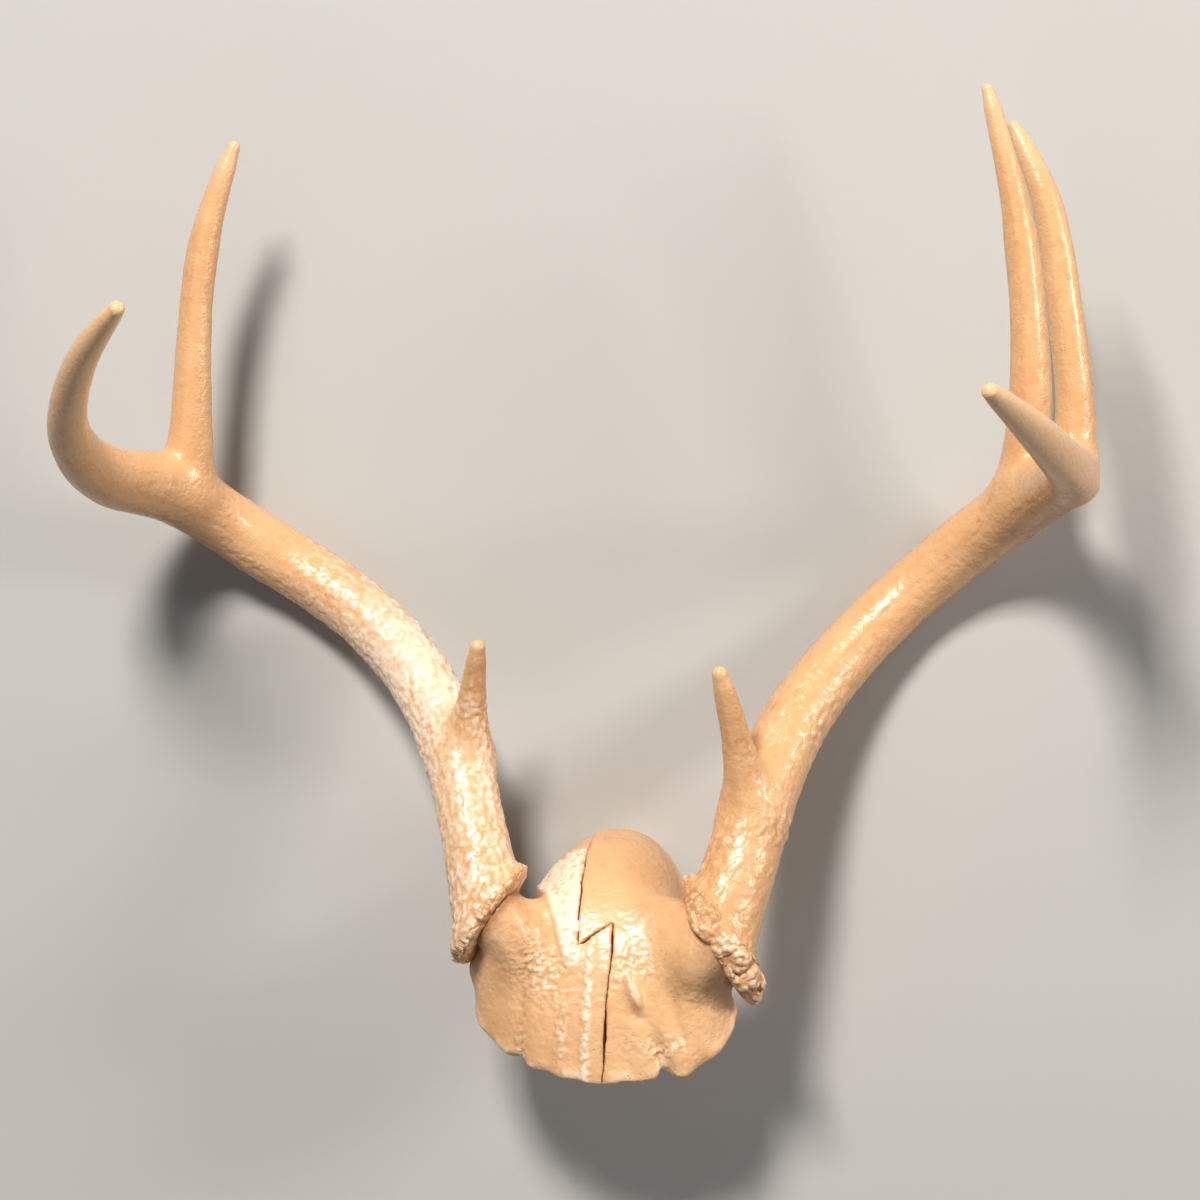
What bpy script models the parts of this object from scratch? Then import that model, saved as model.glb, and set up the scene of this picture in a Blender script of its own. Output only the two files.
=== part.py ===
# White-tailed deer antlers on their sawn skull plate, lying on their back.
# The rack is modelled as the deer carries it: x to the deer's left, y backwards, z up,
# with zero between the two burrs. The last step lays it on its back, with the floor at
# the plane where both beams and the back rim of the skull plate touch. Units are metres.

from math import cos, exp, pi, radians, sin

import bmesh
import bpy
import numpy as np
from mathutils import Matrix, Vector

mm = 0.001
gap = 0.3 * mm                  # clear space between pieces that touch
floor_depth = 80.0              # mm behind the burrs, where the floor is when the rack lies down
ring_step = 11.0                # mm between the rings of a tube
tip_rounding = (1.0, 0.35)      # rings this many tip radii from a tine's end make it round
smallest_end = 0.1              # the last ring's distance from the end, in tip radii
tube_bevel = 4                  # gives tubes 16 sides
weld = 0.01 * mm

# Each station is x, y, z of the middle of the antler and its radius there, in mm.
right_beam = (
    (-47, -1, -13, 15.5), (-57, 12.5, 32, 14.0), (-69, 28, 70, 13.7), (-117.5, 62.5, 131, 13.8),
    (-173.5, 59.5, 168, 13.9), (-194, 36, 183.5, 14.0), (-212, -4, 189, 13.0), (-217, -44, 202, 10.2),
    (-208, -80, 219, 8.0), (-192, -112, 236, 6.4), (-171, -140, 251, 3.4),
)
right_tines = {
    "right_brow_tine": ((-63, 24, 71, 10.0), (-59.7, 16, 92, 6.2), (-54, 0, 119, 3.6)),
    "right_second_tine": (
        (-189, 38, 185, 14.0), (-186, 30, 210, 9.8), (-182, 22, 262, 7.6),
        (-176, 20, 298, 6.2), (-163, 17, 334, 2.6),
    ),
}
left_beam = (
    (43.5, -0.5, -20, 16.2), (57, 12.5, 27, 15.2), (65, 26, 58, 15.0), (82, 48, 93, 14.0),
    (130, 67.3, 145, 13.2), (175.5, 38, 178.5, 13.6), (190, 2, 185, 12.2), (195, -34, 187, 11.0),
    (192, -74, 191, 9.0), (183, -110, 200, 7.4), (165, -156, 215, 3.2),
)
left_tines = {
    "left_brow_tine": ((60, 16, 48, 11.5), (56.2, 6, 71, 8.0), (49, -12, 107, 4.0)),
    "left_second_tine": (
        (173, 42, 183, 14.0), (176, 34, 208, 9.6), (175.5, 26, 263, 7.6),
        (169.5, 23, 309, 6.0), (158.5, 20, 353, 2.4),
    ),
    "left_third_tine": (
        (194, -26, 187, 9.5), (196, -30, 206, 8.4), (191.5, -35, 257, 7.3),
        (184.5, -37, 298, 6.1), (170.5, -36, 330, 2.4),
    ),
}

# Where each beam is parted, in mm along it from its first station: past each main fork.
right_forks = (294,)
left_forks = (287, 352)
right_beam_names = ("right_beam_lower", "right_beam_tip")
left_beam_names = ("left_beam_lower", "left_beam_middle", "left_beam_tip")

# The burr is a knobbly disc between the antler and the skull's pedicle.
right_burr_middle = (-49.9, 5, 3.8)
left_burr_middle = (49.9, 3.5, -6.4)
right_burr_axis = (-0.82, 0.06, 0.57)
left_burr_axis = (0.85, 0.16, 0.50)
right_burr_radii = (25.0, 19.5)  # the long way, and front to back
left_burr_radii = (29.0, 20.5)
burr_thickness = 9.0
burr_knobs = 9
burr_knob_height = 0.85
burr_swells = 4                 # broad swells round the rim, over which the knobs lie
burr_swell_height = 0.45
burr_sides = 36
burr_edge = 2.2

# The pedicle is a stub of bone, from a root buried in the plate up to the burr.
pedicle_root = (36, 14, -30)
pedicle_root_radius = 15.0
pedicle_neck = 8.0
pedicle_radius = 16.0

# The skull plate has its own axes: across, backwards along the saw cut, and up from the cut.
plate_slope = radians(48)
plate_middle = (-3, 25.3, -31)
plate_half_width = 56.0
plate_front = 48.5
plate_back = 83.0
plate_widest = -10.0            # the brows over the eye sockets, a little in front of the middle
plate_height = 41.0
plate_crown = 30.0              # the highest point, behind the middle
plate_waist = 0.29              # how much the brain case narrows behind the brows
plate_waist_start = 0.24        # how soon, as a part of the way back
plate_skew = 0.11               # how much the brow leans to the deer's left, as the saw left it
plate_skew_start = -4.0
plate_brow_power = 0.6          # under 1 squares the outline of the forehead and of the back
plate_back_power = 0.42
plate_ridge_power = 0.6         # under 1 rounds the back of the crown
plate_side_power = 2.4          # over 2 steepens the sides
plate_segments = 36
plate_rings = 20
brain_middle = 32.0
brain_half_width = 33.0
brain_half_length = 38.0
brain_height = 35.0
brain_segments = 24
brain_rings = 14

# The seam between the two frontal bones, across and backwards in mm, with its step.
seam = ((-1, 110), (-6, -2), (6, 8), (4.5, -27), (1, -80))
seam_reach = 130.0
floor_size = 600.0

# Each material's colour and roughness.
bone_look = ((0.76, 0.50, 0.32, 1.0), 0.42)
antler_look = ((0.72, 0.45, 0.27, 1.0), 0.36)
burr_look = ((0.62, 0.37, 0.21, 1.0), 0.45)


def clear_scene():
    for thing in list(bpy.data.objects):
        bpy.data.objects.remove(thing, do_unlink=True)


def make_collection(name):
    collection = bpy.data.collections.new(name)
    bpy.context.scene.collection.children.link(collection)
    return collection


def make_material(name, look):
    colour, roughness = look
    material = bpy.data.materials.new(name)
    material.use_nodes = True
    shader = material.node_tree.nodes["Principled BSDF"]
    shader.inputs["Base Color"].default_value = colour
    shader.inputs["Roughness"].default_value = roughness
    shader.inputs["Metallic"].default_value = 0.0
    return material


def place_mesh(name, mesh, collection, material=None):
    thing = bpy.data.objects.new(name, mesh)
    collection.objects.link(thing)
    if material:
        mesh.materials.clear()
        mesh.materials.append(material)
        mesh.shade_smooth()
    else:
        thing.hide_render = True
        thing.display_type = "WIRE"
    return thing


def smooth_route(stations, distances=None):
    """A natural cubic spline through the stations, read at distances along their straight links."""
    rows = np.array(stations, dtype=float)
    links = np.linalg.norm(np.diff(rows[:, :3], axis=0), axis=1)
    along = np.concatenate([[0.0], np.cumsum(links)])
    count = len(rows)
    system = np.eye(count)
    bends = np.zeros_like(rows)
    slopes = np.diff(rows, axis=0) / links[:, None]
    for i in range(1, count - 1):
        system[i, i - 1:i + 2] = links[i - 1], 2 * (links[i - 1] + links[i]), links[i]
        bends[i] = 6 * (slopes[i] - slopes[i - 1])
    curvature = np.linalg.solve(system, bends)
    if distances is None:
        even = np.linspace(0.0, along[-1], int(round(along[-1] / ring_step)) + 1)
        round_end = along[-1] - rows[-1, 3] * np.array(tip_rounding)
        distances = np.sort(np.concatenate([even, round_end]))
    spots = np.asarray(distances, dtype=float)
    link = np.clip(np.searchsorted(along, spots, side="right") - 1, 0, count - 2)
    width = links[link][:, None]
    before = (along[link + 1] - spots)[:, None] / width
    after = 1 - before
    line = before * rows[link] + after * rows[link + 1]
    bow = (before ** 3 - before) * curvature[link] + (after ** 3 - after) * curvature[link + 1]
    route = line + bow * width ** 2 / 6
    to_tip = np.clip((along[-1] - spots) / rows[-1, 3], smallest_end, 1.0)
    route[:, 3] *= np.sqrt(1 - (1 - to_tip) ** 2)
    return route


def mesh_from_curve(curve, collection, material=None):
    """The curve as the solid that it draws, its ends welded on, in place of the curve."""
    drawn = bpy.data.objects.new(curve.name, curve)
    collection.objects.link(drawn)
    depsgraph = bpy.context.evaluated_depsgraph_get()
    mesh = bpy.data.meshes.new_from_object(drawn.evaluated_get(depsgraph))
    shaped = bmesh.new()
    shaped.from_mesh(mesh)
    bmesh.ops.remove_doubles(shaped, verts=shaped.verts, dist=weld)
    bmesh.ops.recalc_face_normals(shaped, faces=shaped.faces)
    shaped.to_mesh(mesh)
    shaped.free()
    name = curve.name
    turned = drawn.matrix_world.copy()
    bpy.data.objects.remove(drawn, do_unlink=True)
    bpy.data.curves.remove(curve)
    solid = place_mesh(name, mesh, collection, material)
    solid.matrix_world = turned
    return solid


def make_tube(name, route, collection, material=None, grow=0.0):
    """A bevelled curve with filled ends along the route, as thick as the route says."""
    curve = bpy.data.curves.new(name, "CURVE")
    curve.dimensions = "3D"
    curve.fill_mode = "FULL"
    curve.bevel_depth = mm
    curve.bevel_resolution = tube_bevel
    curve.use_fill_caps = True
    spline = curve.splines.new("POLY")
    spline.points.add(len(route) - 1)
    for point, (x, y, z, radius) in zip(spline.points, route):
        point.co = (x * mm, y * mm, z * mm, 1.0)
        point.radius = radius + grow / mm
    return mesh_from_curve(curve, collection, material)


def trim(solid, point, outwards):
    """Saws off all that lies past a plane and closes the cut."""
    shaped = bmesh.new()
    shaped.from_mesh(solid.data)
    everything = shaped.verts[:] + shaped.edges[:] + shaped.faces[:]
    bmesh.ops.bisect_plane(
        shaped, geom=everything, dist=0.001 * mm, plane_co=point, plane_no=outwards, clear_outer=True
    )
    open_edges = [edge for edge in shaped.edges if edge.is_boundary]
    bmesh.ops.holes_fill(shaped, edges=open_edges, sides=0)
    bmesh.ops.recalc_face_normals(shaped, faces=shaped.faces)
    shaped.to_mesh(solid.data)
    shaped.free()


def cut_with(solid, cutter, operation="DIFFERENCE"):
    boolean = solid.modifiers.new(operation.title() + " " + cutter.name, "BOOLEAN")
    boolean.operation = operation
    boolean.solver = "EXACT"
    boolean.object = cutter


def beam_cut(stations, distance):
    """The point and direction of a beam at a distance along it, for a cut square across it."""
    near = smooth_route(stations, (distance - 1.0, distance, distance + 1.0))
    direction = Vector(near[2, :3] - near[0, :3]).normalized()
    return Vector(near[1, :3]) * mm, direction


def make_beam(names, stations, forks, base, collection, material):
    """One antler's beam, parted past each main fork and cut slanting where it meets the burr."""
    burr_middle, burr_axis = base
    route = smooth_route(stations)
    axis = Vector(burr_axis).normalized()
    foot = Vector(burr_middle) * mm + axis * (burr_thickness / 2 * mm + gap)
    cuts = [beam_cut(stations, fork) for fork in forks]
    for i, name in enumerate(names):
        piece = make_tube(name, route, collection, material)
        if i == 0:
            trim(piece, foot, -axis)
        else:
            point, direction = cuts[i - 1]
            trim(piece, point + direction * gap / 2, -direction)
        if i < len(cuts):
            point, direction = cuts[i]
            trim(piece, point - direction * gap / 2, direction)


def make_tines(tines, stations, side, collection, cutters, material):
    """Each tine grows from the beam's middle, less the space that the beam takes up."""
    room = make_tube(side + "_beam_room", smooth_route(stations), cutters, grow=gap)
    for name, tine_stations in tines.items():
        tine = make_tube(name, smooth_route(tine_stations), collection, material)
        cut_with(tine, room)


def burr_frame(middle, axis):
    """The burr's place, with its long radius across the deer and its axis along z."""
    upright = Vector(axis).normalized()
    long_way = upright.cross(Vector((0, 1, 0))).normalized()
    short_way = upright.cross(long_way)
    turn = Matrix((long_way, short_way, upright)).transposed().to_4x4()
    return Matrix.Translation(Vector(middle) * mm) @ turn


def make_burr(name, middle, axis, radii, collection, material):
    """A disc with round edges, whose radius swells and shrinks into knobs round its rim."""
    mesh = bpy.data.meshes.new(name)
    disc = bmesh.new()
    bmesh.ops.create_cone(
        disc, cap_ends=True, segments=burr_sides, radius1=1.0, radius2=1.0, depth=burr_thickness * mm
    )
    for corner in disc.verts:
        angle = np.arctan2(corner.co.y, corner.co.x)
        knob = burr_knob_height * cos(burr_knobs * angle)
        knob += burr_swell_height * sin(burr_swells * angle + 1.0)
        corner.co.x *= (radii[0] + knob) * mm
        corner.co.y *= (radii[1] + knob) * mm
    rims = [edge for edge in disc.edges if abs(edge.verts[0].co.z - edge.verts[1].co.z) < gap]
    bmesh.ops.bevel(disc, geom=rims, offset=burr_edge * mm, segments=2, profile=0.5, affect="EDGES")
    disc.to_mesh(mesh)
    disc.free()
    burr = place_mesh(name, mesh, collection, material)
    burr.matrix_world = burr_frame(middle, axis)


def make_pedicle(name, middle, axis, cutters):
    """The stub of bone that carries the burr: square to it at the top, bent inwards below."""
    upright = np.array(Vector(axis).normalized())
    top = np.array(middle, dtype=float) - upright * (burr_thickness / 2 + gap / mm)
    neck = top - upright * pedicle_neck
    root = np.array(pedicle_root, dtype=float)
    root[0] *= np.sign(middle[0])
    rows = [(*root, pedicle_root_radius), (*neck, pedicle_radius), (*top, pedicle_radius)]
    return make_tube(name, np.array(rows), cutters)


def plate_width_at(back):
    """Half the plate's width: an oval in front of the brows, a waisted oval over the brain behind."""
    if back <= plate_widest:
        ahead = (plate_widest - back) / (plate_widest + plate_front)
        return plate_half_width * max(1 - ahead ** 2, 0) ** plate_brow_power
    behind = min((back - plate_widest) / (plate_back - plate_widest), 1.0)
    waist = 1 - plate_waist * (1 - exp(-(behind / plate_waist_start) ** 2))
    return plate_half_width * (1 - behind ** 2) ** plate_back_power * waist


def plate_height_at(across, back):
    """A long forehead slope, a rounder back, and steep sides from the saw cut up."""
    across -= plate_skew * max(plate_skew_start - back, 0)
    if back <= plate_crown:
        ridge = 1 - ((plate_crown - back) / (plate_crown + plate_front)) ** 2
    else:
        behind = (back - plate_crown) / (plate_back - plate_crown)
        ridge = max(1 - behind ** 2, 0) ** plate_ridge_power
    width = max(plate_width_at(back), 1e-6)
    side = max(1 - min(abs(across) / width, 1.0) ** plate_side_power, 0) ** 0.5
    return plate_height * max(ridge, 0) * side


def plate_matrix():
    """Turns the plate's own axes, across, backwards and up, into the deer's."""
    across = Vector((1, 0, 0))
    backwards = Vector((0, cos(plate_slope), sin(plate_slope)))
    upwards = Vector((0, -sin(plate_slope), cos(plate_slope)))
    turn = Matrix((across, backwards, upwards)).transposed().to_4x4()
    return Matrix.Translation(Vector(plate_middle) * mm) @ turn


def dome_mesh(name):
    """A ball's upper half, drawn out to the plate's rim and height, with the flat saw cut below."""
    mesh = bpy.data.meshes.new(name)
    ball = bmesh.new()
    bmesh.ops.create_uvsphere(ball, u_segments=plate_segments, v_segments=plate_rings, radius=1.0)
    everything = ball.verts[:] + ball.edges[:] + ball.faces[:]
    bmesh.ops.bisect_plane(
        ball, geom=everything, dist=1e-5, plane_co=(0, 0, 0), plane_no=(0, 0, -1), clear_outer=True
    )
    for corner in ball.verts:
        spread = (corner.co.x ** 2 + corner.co.y ** 2) ** 0.5
        angle = np.arctan2(corner.co.y, corner.co.x)
        rim_back = (plate_back if angle >= 0 else plate_front) * sin(angle)
        rim_across = np.sign(cos(angle)) * plate_width_at(rim_back)
        rim_across += plate_skew * max(plate_skew_start - rim_back, 0)
        across = spread * rim_across
        back = plate_crown + spread * (rim_back - plate_crown)
        height = 0.0 if spread > 1 - 1e-4 else plate_height_at(across, back)
        corner.co = Vector((across, back, height)) * mm
    open_edges = [edge for edge in ball.edges if edge.is_boundary]
    bmesh.ops.holes_fill(ball, edges=open_edges, sides=0)
    bmesh.ops.recalc_face_normals(ball, faces=ball.faces)
    ball.to_mesh(mesh)
    ball.free()
    return mesh


def brain_cavity(cutters):
    """An egg-shaped hollow that the saw cut opens from below."""
    mesh = bpy.data.meshes.new("brain_cavity")
    egg = bmesh.new()
    bmesh.ops.create_uvsphere(
        egg, u_segments=brain_segments, v_segments=brain_rings, radius=1.0
    )
    for corner in egg.verts:
        corner.co.x *= brain_half_width * mm
        corner.co.y = (corner.co.y * brain_half_length + brain_middle) * mm
        corner.co.z *= brain_height * mm
    egg.to_mesh(mesh)
    egg.free()
    cavity = place_mesh("brain_cavity", mesh, cutters)
    cavity.matrix_world = plate_matrix()
    return cavity


def beside_seam(distance):
    """The seam moved sideways: each corner slides along the line that halves its angle."""
    line = np.array(seam, dtype=float)
    ways = np.diff(line, axis=0)
    ways /= np.linalg.norm(ways, axis=1)[:, None]
    across = np.stack([-ways[:, 1], ways[:, 0]], axis=1)
    before = np.vstack([across[:1], across])
    after = np.vstack([across, across[-1:]])
    share = 1 + (before * after).sum(axis=1)
    return line + distance * (before + after) / share[:, None]


def other_side(name, direction, cutters):
    """A block over all on one side of the seam, with its edge half a gap past the seam."""
    curve = bpy.data.curves.new(name, "CURVE")
    curve.dimensions = "2D"
    curve.fill_mode = "BOTH"
    curve.extrude = seam_reach * mm
    edge = [tuple(corner) for corner in beside_seam(-direction * gap / mm / 2)]
    far = direction * seam_reach
    corners = edge + [(far, seam[-1][1]), (far, seam[0][1])]
    spline = curve.splines.new("POLY")
    spline.points.add(len(corners) - 1)
    for point, (across, back) in zip(spline.points, corners):
        point.co = (across * mm, back * mm, 0.0, 1.0)
    spline.use_cyclic_u = True
    block = mesh_from_curve(curve, cutters)
    block.matrix_world = plate_matrix()
    return block


def floor_block(cutters):
    """All that would lie below the floor, so that each contact gets a small flat."""
    size = floor_size * mm
    mesh = bpy.data.meshes.new("floor_block")
    block = bmesh.new()
    bmesh.ops.create_cube(block, size=size)
    bmesh.ops.translate(block, verts=block.verts, vec=(0, floor_depth * mm + size / 2, 0))
    block.to_mesh(mesh)
    block.free()
    return place_mesh("floor_block", mesh, cutters)


def make_plate(name, pedicle, other, cavity, floor, collection, material):
    """Half of the sawn skull plate with its pedicle, hollow where the brain was."""
    half = place_mesh(name, dome_mesh(name), collection, material)
    half.matrix_world = plate_matrix()
    cut_with(half, pedicle, "UNION")
    for cutter in (cavity, other, floor):
        cut_with(half, cutter)


def lay_on_back(collection, cutters):
    """Hangs all on one empty, turned so that the deer's back is down, and centres the origin."""
    rack = bpy.data.objects.new("rack", None)
    bpy.context.scene.collection.objects.link(rack)
    rack.rotation_euler = (-pi / 2, 0, 0)
    for thing in list(collection.objects) + list(cutters.objects):
        thing.parent = rack
    bpy.context.view_layer.update()
    depsgraph = bpy.context.evaluated_depsgraph_get()
    corners = []
    for thing in collection.objects:
        shown = thing.evaluated_get(depsgraph)
        corners += [shown.matrix_world @ corner.co for corner in shown.data.vertices]
    places = np.array(corners)
    low = places.min(axis=0)
    high = places.max(axis=0)
    rack.location = (-(low[0] + high[0]) / 2, -(low[1] + high[1]) / 2, floor_depth * mm)
    bpy.context.view_layer.update()
    moved = [round(value / mm, 2) for value in rack.location]
    print("zero between the burrs is at", moved, "mm")


def main():
    clear_scene()
    collection = make_collection("deer_antlers")
    cutters = make_collection("cutters")
    bone = make_material("Skull bone", bone_look)
    antler = make_material("Antler", antler_look)
    crown = make_material("Burr", burr_look)
    floor = floor_block(cutters)
    cavity = brain_cavity(cutters)

    burrs = (
        ("right", 1, right_burr_middle, right_burr_axis, right_burr_radii),
        ("left", -1, left_burr_middle, left_burr_axis, left_burr_radii),
    )
    for side, other, middle, axis, radii in burrs:
        pedicle = make_pedicle(side + "_pedicle", middle, axis, cutters)
        block = other_side("past_seam_of_" + side, other, cutters)
        make_plate("skull_plate_" + side, pedicle, block, cavity, floor, collection, bone)
        make_burr(side + "_burr", middle, axis, radii, collection, crown)

    right_base = (right_burr_middle, right_burr_axis)
    make_beam(right_beam_names, right_beam, right_forks, right_base, collection, antler)
    make_tines(right_tines, right_beam, "right", collection, cutters, antler)
    left_base = (left_burr_middle, left_burr_axis)
    make_beam(left_beam_names, left_beam, left_forks, left_base, collection, antler)
    make_tines(left_tines, left_beam, "left", collection, cutters, antler)
    for name in ("right_beam_lower", "left_beam_lower"):
        cut_with(collection.objects[name], floor)

    lay_on_back(collection, cutters)


main()
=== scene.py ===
from math import cos, radians, sin

import bpy
import numpy as np
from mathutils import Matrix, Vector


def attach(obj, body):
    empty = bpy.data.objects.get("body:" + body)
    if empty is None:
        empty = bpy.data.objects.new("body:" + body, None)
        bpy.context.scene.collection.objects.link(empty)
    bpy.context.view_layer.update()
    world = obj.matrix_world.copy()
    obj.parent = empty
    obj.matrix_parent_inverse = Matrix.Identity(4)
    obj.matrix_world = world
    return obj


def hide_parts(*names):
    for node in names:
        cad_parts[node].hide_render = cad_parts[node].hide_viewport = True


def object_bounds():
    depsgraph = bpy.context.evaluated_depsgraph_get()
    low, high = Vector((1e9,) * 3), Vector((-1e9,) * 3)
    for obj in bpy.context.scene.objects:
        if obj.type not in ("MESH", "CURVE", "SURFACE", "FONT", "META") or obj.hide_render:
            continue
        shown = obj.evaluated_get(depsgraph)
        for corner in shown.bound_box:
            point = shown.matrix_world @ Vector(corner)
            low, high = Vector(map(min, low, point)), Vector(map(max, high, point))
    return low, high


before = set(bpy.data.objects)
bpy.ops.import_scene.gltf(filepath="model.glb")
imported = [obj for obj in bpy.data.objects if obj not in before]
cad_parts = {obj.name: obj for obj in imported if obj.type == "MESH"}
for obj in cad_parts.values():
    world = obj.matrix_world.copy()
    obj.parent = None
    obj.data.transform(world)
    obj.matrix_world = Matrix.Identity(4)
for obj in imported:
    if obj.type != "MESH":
        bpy.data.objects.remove(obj)        # a deer's antlers on their sawn skull plate, lying on their back
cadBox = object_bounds()

# Shapes are worked out as the deer carries them, in mm: x to its left, y backwards, z up, with
# zero between the burrs. The last step of each piece turns it into the frame's metres.
rack = {
    "zero": (11.0, -143.12, 80.0),     # where the deer's zero lies in the frame, mm
    "noiseSeed": 11,
    "keepInside": 0.02,                 # mm that every piece stays inside the frame's box
}


# Noise and small helpers

lattice = np.random.default_rng(rack["noiseSeed"]).random((64, 64, 64, 3))
latticeTurn = np.linalg.qr(np.random.default_rng(rack["noiseSeed"]).normal(size=(3, 3)))[0]


def toFrame(points):
    # the deer's back is down in the frame: X is x, Y is z and Z is minus y, inside the frame's box
    x, y, z = points.T
    zeroX, zeroY, zeroZ = rack["zero"]
    turned = np.stack([x + zeroX, z + zeroY, zeroZ - y], axis=1) * 0.001
    room = rack["keepInside"] * 0.001
    return np.clip(turned, np.array(cadBox[0]) + room, np.array(cadBox[1]) - room)


def unit(vectors):
    return vectors / np.maximum(np.linalg.norm(vectors, axis=-1, keepdims=True), 1e-9)


def fade(values, start, end):
    # 0 before start, 1 after end, and the smooth step 3t2 - 2t3 between
    t = np.clip((values - start) / (end - start), 0, 1)
    return t * t * (3 - 2 * t)


def softNoise(points, size):
    # random numbers on a cubic lattice, mixed by the smooth step along each axis, from -1 to 1
    spot = points / size + 17.3
    cell = np.floor(spot).astype(int)
    share = spot - cell
    share = share * share * (3 - 2 * share)
    total = np.zeros(len(points))
    for corner in np.ndindex(2, 2, 2):
        i, j, k = ((cell + corner) % 64).T
        weight = np.where(corner, share, 1 - share).prod(axis=1)
        total += weight * lattice[i, j, k, 0]
    return 2 * total - 1


def roughNoise(points, size):
    # soft noise with a half and a quarter of its size laid over it
    return (softNoise(points, size) + 0.5 * softNoise(points, size / 2)
            + 0.25 * softNoise(points, size / 4)) / 1.75


def cobbles(points, size, power=1.0):
    # one random pip in each cube of a turned lattice: 1 on a pip, falling as a half circle to 0
    spot = (points @ latticeTurn + 0.35 * size * softNoise(points, 2.3 * size)[:, None]) / size + 9.1
    cell = np.floor(spot).astype(int)
    nearest = np.full(len(spot), 9.0)
    for step in np.ndindex(3, 3, 3):
        home = cell + np.array(step) - 1
        i, j, k = (home % 64).T
        pip = home + 0.05 + 0.9 * lattice[i, j, k]
        nearest = np.minimum(nearest, ((pip - spot) ** 2).sum(axis=1))
    return np.sqrt(np.clip(1 - nearest / 0.34, 0, 1)) ** power


def bump(values, middle, width):
    # a bell: 1 in the middle, falling as the Gaussian of the distance from it
    return np.exp(-((values - middle) / width) ** 2)


def report(stage):
    print("deer antlers:", stage)


# Meshes

def gridFaces(rows, columns, closedColumns):
    # four-sided faces between the points of a grid, whose last column may join its first
    down, across = np.meshgrid(np.arange(rows - 1), np.arange(columns - (not closedColumns)),
                               indexing="ij")
    right = (across + 1) % columns
    corners = [down * columns + across, down * columns + right,
               (down + 1) * columns + right, (down + 1) * columns + across]
    return np.stack(corners, axis=-1).reshape(-1, 4)


def makeMesh(name, points, faces):
    mesh = bpy.data.meshes.new(name)
    mesh.from_pydata(points.tolist(), [], [list(map(int, face)) for face in faces])
    mesh.update()
    return mesh


def closedTube(rings):
    # rings of points, each end drawn together on the middle of its ring
    count, sides = rings.shape[:2]
    points = np.concatenate([rings.reshape(-1, 3), rings[:1].mean(axis=1), rings[-1:].mean(axis=1)])
    faces = gridFaces(count, sides, True).tolist()
    first = count * sides
    last = (count - 1) * sides
    faces += [[first, (i + 1) % sides, i] for i in range(sides)]
    faces += [[first + 1, last + i, last + (i + 1) % sides] for i in range(sides)]
    return points, faces


def joined(parts):
    points = []
    faces = []
    start = 0
    for partPoints, partFaces in parts:
        points.append(partPoints)
        faces += [[corner + start for corner in face] for face in partFaces]
        start += len(partPoints)
    return np.concatenate(points), faces


def discard(thing):
    mesh = thing.data
    bpy.data.objects.remove(thing)
    bpy.data.meshes.remove(mesh)


def throughModifiers(thing):
    # the object's mesh with its modifiers worked in, and the object and its old mesh gone
    graph = bpy.context.evaluated_depsgraph_get()
    mesh = bpy.data.meshes.new_from_object(thing.evaluated_get(graph))
    discard(thing)
    return mesh


def newObject(name, data):
    thing = bpy.data.objects.new(name, data)
    bpy.context.scene.collection.objects.link(thing)
    return thing


def fused(mesh, cell):
    # one closed skin over all the solids in a mesh, in squares of about one cell
    thing = newObject(mesh.name, mesh)
    remesh = thing.modifiers.new("Fuse", "REMESH")
    remesh.mode = "VOXEL"
    remesh.voxel_size = cell
    return throughModifiers(thing)


def readPoints(mesh):
    points = np.empty(len(mesh.vertices) * 3)
    mesh.vertices.foreach_get("co", points)
    return points.reshape(-1, 3)


def readNormals(mesh):
    normals = np.empty(len(mesh.vertices) * 3)
    mesh.vertex_normals.foreach_get("vector", normals)
    return normals.reshape(-1, 3)


def writePoints(mesh, points):
    mesh.vertices.foreach_set("co", points.ravel())
    mesh.update()


def relax(mesh, points, share, rounds):
    # each point moves towards the mean of its neighbours by its share, some rounds over
    ends = np.empty(len(mesh.edges) * 2, int)
    mesh.edges.foreach_get("vertices", ends)
    one, two = ends.reshape(-1, 2).T
    count = np.bincount(ends, minlength=len(points))[:, None]
    for _ in range(rounds):
        total = np.stack([
            np.bincount(one, points[two, axis], len(points))
            + np.bincount(two, points[one, axis], len(points)) for axis in range(3)], axis=1)
        points = points + share[:, None] * (total / count - points)
    return points


def finishPiece(name, mesh, points, relief, tip, material, nodes):
    # stores what the material reads, turns the mesh into the frame and lets it stand for its nodes
    for label, values in (("relief", relief), ("tip", tip)):
        attribute = mesh.attributes.new(label, "FLOAT", "POINT")
        attribute.data.foreach_set("value", values.astype(np.float32))
    writePoints(mesh, toFrame(points))
    mesh.materials.clear()
    mesh.materials.append(material)
    mesh.shade_smooth()
    mesh.name = name
    piece = newObject(name, mesh)
    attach(piece, "root")
    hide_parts(*nodes)
    report(name + ", " + str(len(points)) + " points")


# Camera: it looks down on the rack as it lies, as the photo looks at it from the front

camera = {
    "scale": 0.42,                  # mm to a pixel of the photo, at the burrs
    "distance": 1540.0,             # mm
    "pixels": 1200,
    "zeroPixel": (605.0, 925.0),    # where the photo shows the point between the burrs
    "yaw": 8.0,                     # degrees round to the deer's right
    "sensor": 36.0,                 # mm
}


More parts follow.
